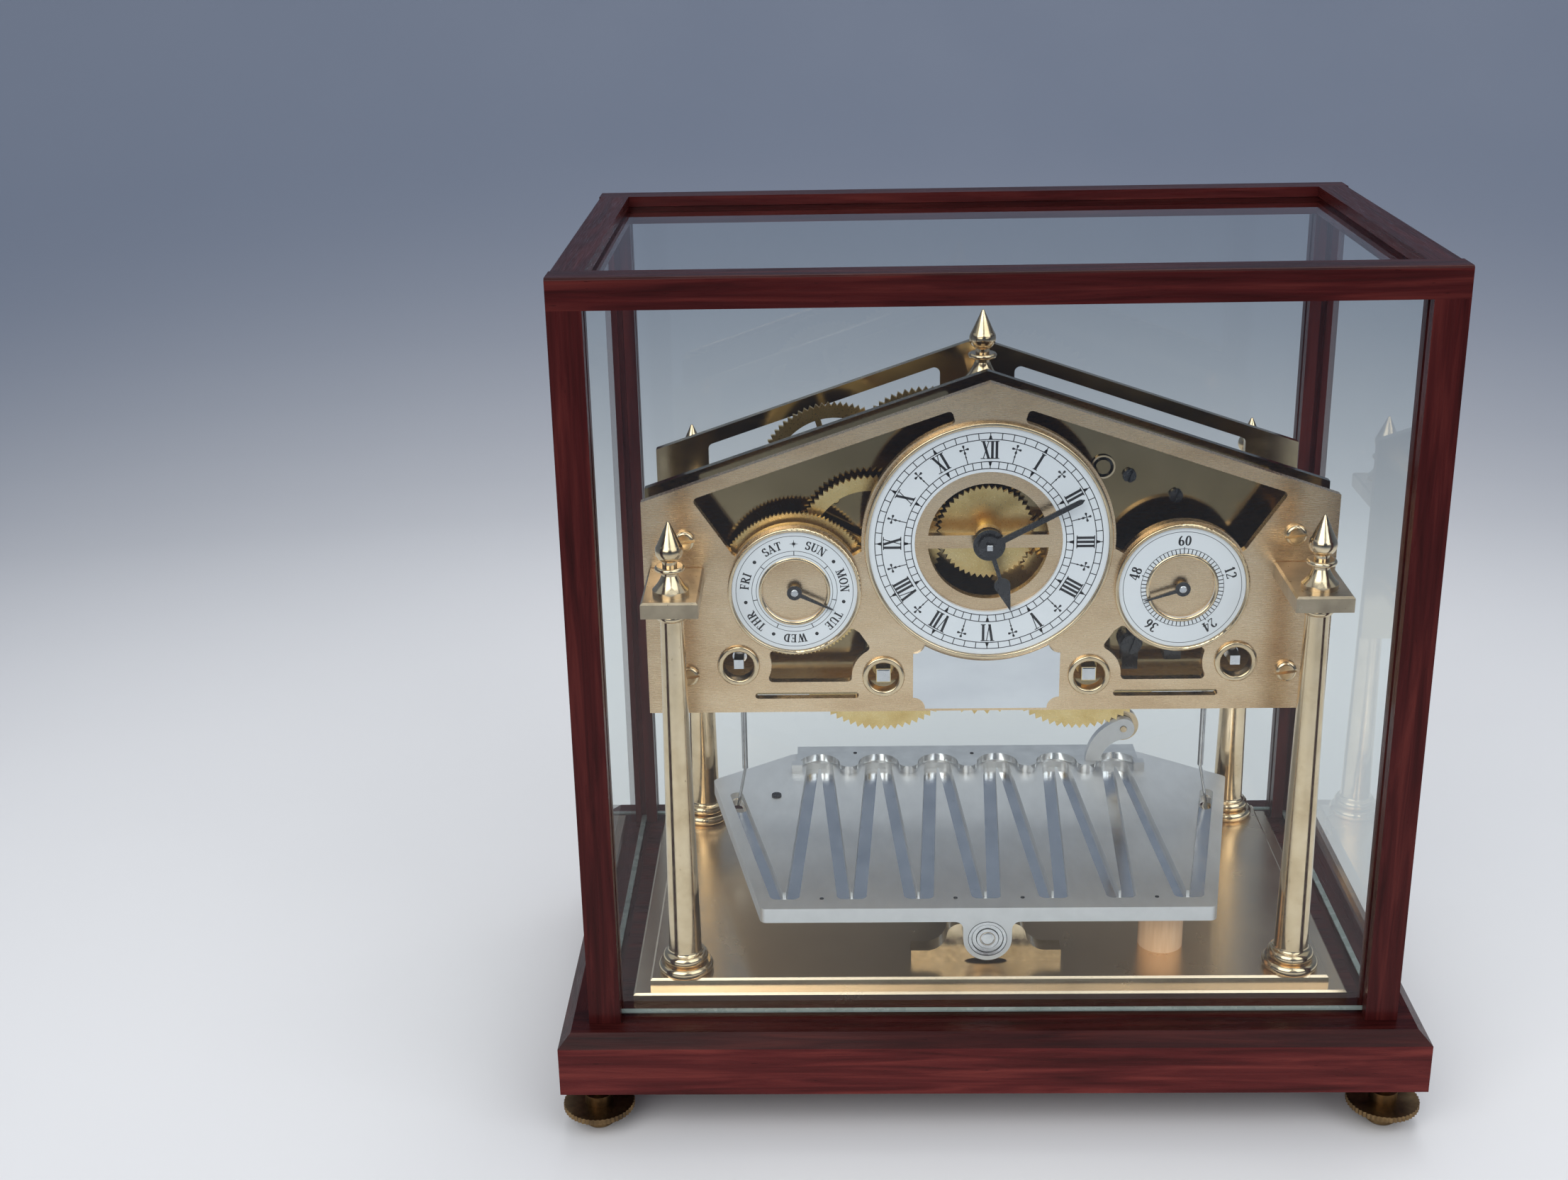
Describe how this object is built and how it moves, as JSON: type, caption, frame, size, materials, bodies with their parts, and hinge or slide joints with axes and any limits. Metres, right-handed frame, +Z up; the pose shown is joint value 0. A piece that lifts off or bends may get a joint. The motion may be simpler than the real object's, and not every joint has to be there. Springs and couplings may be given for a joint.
{
  "type": "rolling ball table clock",
  "caption": "Skeleton table clock with a geared movement over a tilting zig-zag ball track, on columns under a lift-off glazed wooden cover.",
  "frame": {"origin": "middle of the footprint, on the floor under the levelling feet", "axes": "+Z up, -Y out of the dial side, +X to the right seen from the front"},
  "size_m": [0.356, 0.219, 0.358],
  "materials": {
    "mahogany": "polished",
    "glass": "clear",
    "polished_brass": "polished",
    "satin_brass": "satin",
    "wheel_brass": "satin",
    "dark_brass": "darkened",
    "enamel": "gloss",
    "silvered": "satin",
    "black_steel": "gloss",
    "aluminium": "satin",
    "mirror_steel": "polished",
    "steel": "polished",
    "pale_wood": "plain"
  },
  "bodies": {
    "clock": {"plinth_long_boards": "mahogany", "plinth_short_boards": "mahogany", "base_panel": "mahogany", "bed_lower": "polished_brass", "bed_upper": "polished_brass", "columns": "polished_brass", "column_brackets": "polished_brass", "column_finials": "polished_brass", "apex_finial": "polished_brass", "front_plate": "satin_brass", "middle_plate": "polished_brass", "rear_plate": "satin_brass", "middle_plate_fittings": "black_steel", "plate_pillars": "polished_brass", "plate_screws": "polished_brass", "main_dial": "enamel", "day_dial": "enamel", "seconds_dial": "enamel", "dial_bezels": "polished_brass", "winding_bushes": "polished_brass", "plaque": "silvered", "tray_brackets": "polished_brass", "rest_peg": "pale_wood"},
    "cover": {"cover_posts": "mahogany", "cover_rails_long": "mahogany", "cover_rails_short": "mahogany", "glass_front_and_back": "glass", "glass_sides": "glass", "glass_top": "glass"},
    "foot_1": {"levelling_foot_1": "dark_brass"},
    "foot_2": {"levelling_foot_2": "dark_brass"},
    "foot_3": {"levelling_foot_3": "dark_brass"},
    "foot_4": {"levelling_foot_4": "dark_brass"},
    "tray": {"tray": "aluminium", "track_floor": "mirror_steel", "track_guard": "aluminium", "tilt_arm": "aluminium", "tray_bearings": "mirror_steel"},
    "rod": {"connecting_rod": "polished_brass"},
    "centre": {"centre_wheel": "wheel_brass", "minute_hand": "black_steel"},
    "hour": {"hour_wheel": "wheel_brass", "hour_hand": "black_steel"},
    "minute_wheel": {"minute_wheel": "wheel_brass"},
    "transfer": {"transfer_wheel": "wheel_brass"},
    "day": {"day_wheel": "wheel_brass", "day_hand": "black_steel"},
    "second": {"second_wheel": "wheel_brass"},
    "great_left": {"great_wheel_left": "wheel_brass"},
    "great_right": {"great_wheel_right": "wheel_brass"},
    "release": {"release_wheel": "wheel_brass"},
    "locking": {"locking_wheel": "wheel_brass"},
    "third": {"third_wheel": "wheel_brass"},
    "seconds": {"seconds_wheel": "wheel_brass", "seconds_hand": "black_steel"},
    "crank": {"crank": "steel"},
    "trip_left": {"trip_rod_left": "steel"},
    "trip_right": {"trip_rod_right": "steel"},
    "setting_left": {"setting_arbor_left": "steel"},
    "setting_right": {"setting_arbor_right": "steel"}
  },
  "joints": [
    {"name": "cover_lift", "type": "slide", "parent": "clock", "child": "cover", "axis": [0, 0, 1], "range_m": [0, 0.3]},
    {"name": "foot_1_turn", "type": "hinge", "parent": "clock", "child": "foot_1", "pos_m": [-0.1631, -0.0946, 0], "axis": [0, 0, 1], "continuous": true},
    {"name": "foot_2_turn", "type": "hinge", "parent": "clock", "child": "foot_2", "pos_m": [0.1631, -0.0946, 0], "axis": [0, 0, 1], "continuous": true},
    {"name": "foot_3_turn", "type": "hinge", "parent": "clock", "child": "foot_3", "pos_m": [-0.1631, 0.0946, 0], "axis": [0, 0, 1], "continuous": true},
    {"name": "foot_4_turn", "type": "hinge", "parent": "clock", "child": "foot_4", "pos_m": [0.1631, 0.0946, 0], "axis": [0, 0, 1], "continuous": true},
    {"name": "tray_tilt", "type": "hinge", "parent": "clock", "child": "tray", "pos_m": [0, 0, 0.0734], "axis": [0, 1, 0], "range_deg": [-2, 2]},
    {"name": "rod_swing", "type": "hinge", "parent": "tray", "child": "rod", "pos_m": [0.0734, 0.062, 0.1084], "axis": [0, 1, 0], "range_deg": [-3, 3]},
    {"name": "centre_turn", "type": "hinge", "parent": "clock", "child": "centre", "pos_m": [0, 0, 0.2373], "axis": [0, 1, 0], "continuous": true},
    {"name": "hour_turn", "type": "hinge", "parent": "clock", "child": "hour", "pos_m": [0, 0, 0.2373], "axis": [0, 1, 0], "continuous": true},
    {"name": "minute_wheel_turn", "type": "hinge", "parent": "clock", "child": "minute_wheel", "pos_m": [0.01976, 0, 0.22347], "axis": [0, 1, 0], "continuous": true},
    {"name": "transfer_turn", "type": "hinge", "parent": "clock", "child": "transfer", "pos_m": [-0.048, 0, 0.2325], "axis": [0, 1, 0], "continuous": true},
    {"name": "day_turn", "type": "hinge", "parent": "clock", "child": "day", "pos_m": [-0.0786, 0, 0.2172], "axis": [0, 1, 0], "continuous": true},
    {"name": "second_turn", "type": "hinge", "parent": "clock", "child": "second", "pos_m": [0, 0, 0.186], "axis": [0, 1, 0], "continuous": true},
    {"name": "great_left_turn", "type": "hinge", "parent": "clock", "child": "great_left", "pos_m": [-0.0424, 0, 0.1788], "axis": [0, 1, 0], "continuous": true},
    {"name": "great_right_turn", "type": "hinge", "parent": "clock", "child": "great_right", "pos_m": [0.0424, 0, 0.1788], "axis": [0, 1, 0], "continuous": true},
    {"name": "release_turn", "type": "hinge", "parent": "clock", "child": "release", "pos_m": [-0.0229, 0, 0.2556], "axis": [0, 1, 0], "continuous": true},
    {"name": "locking_turn", "type": "hinge", "parent": "clock", "child": "locking", "pos_m": [-0.0617, 0, 0.25], "axis": [0, 1, 0], "continuous": true},
    {"name": "third_turn", "type": "hinge", "parent": "clock", "child": "third", "pos_m": [0.02844, 0, 0.23021], "axis": [0, 1, 0], "continuous": true},
    {"name": "seconds_turn", "type": "hinge", "parent": "clock", "child": "seconds", "pos_m": [0.0786, 0, 0.2172], "axis": [0, 1, 0], "continuous": true},
    {"name": "crank_turn", "type": "hinge", "parent": "clock", "child": "crank", "pos_m": [0.0766, 0, 0.172], "axis": [0, 1, 0], "continuous": true},
    {"name": "setting_left_turn", "type": "hinge", "parent": "clock", "child": "setting_left", "pos_m": [-0.1023, 0, 0.1843], "axis": [0, 1, 0], "continuous": true},
    {"name": "setting_right_turn", "type": "hinge", "parent": "clock", "child": "setting_right", "pos_m": [0.1023, 0, 0.1843], "axis": [0, 1, 0], "continuous": true},
    {"name": "trip_left_swing", "type": "hinge", "parent": "clock", "child": "trip_left", "pos_m": [-0.1045, 0.03, 0.176], "axis": [1, 0, 0], "range_deg": [-1, 3]},
    {"name": "trip_right_swing", "type": "hinge", "parent": "clock", "child": "trip_right", "pos_m": [0.1045, 0.03, 0.176], "axis": [1, 0, 0], "range_deg": [-1, 3]}
  ],
  "couplings": [
    {"joint": "centre_turn", "follows": "third_turn", "ratio": -0.125},
    {"joint": "hour_turn", "follows": "third_turn", "ratio": -0.010417},
    {"joint": "minute_wheel_turn", "follows": "third_turn", "ratio": 0.041667},
    {"joint": "transfer_turn", "follows": "third_turn", "ratio": 0.0069444},
    {"joint": "day_turn", "follows": "third_turn", "ratio": -0.00074405},
    {"joint": "second_turn", "follows": "third_turn", "ratio": 0.0625},
    {"joint": "great_left_turn", "follows": "third_turn", "ratio": -0.010417},
    {"joint": "great_right_turn", "follows": "third_turn", "ratio": -0.010417},
    {"joint": "release_turn", "follows": "third_turn", "ratio": 1},
    {"joint": "locking_turn", "follows": "third_turn", "ratio": -7.5},
    {"joint": "seconds_turn", "follows": "third_turn", "ratio": -7.5},
    {"joint": "crank_turn", "follows": "third_turn", "ratio": 15}
  ]
}
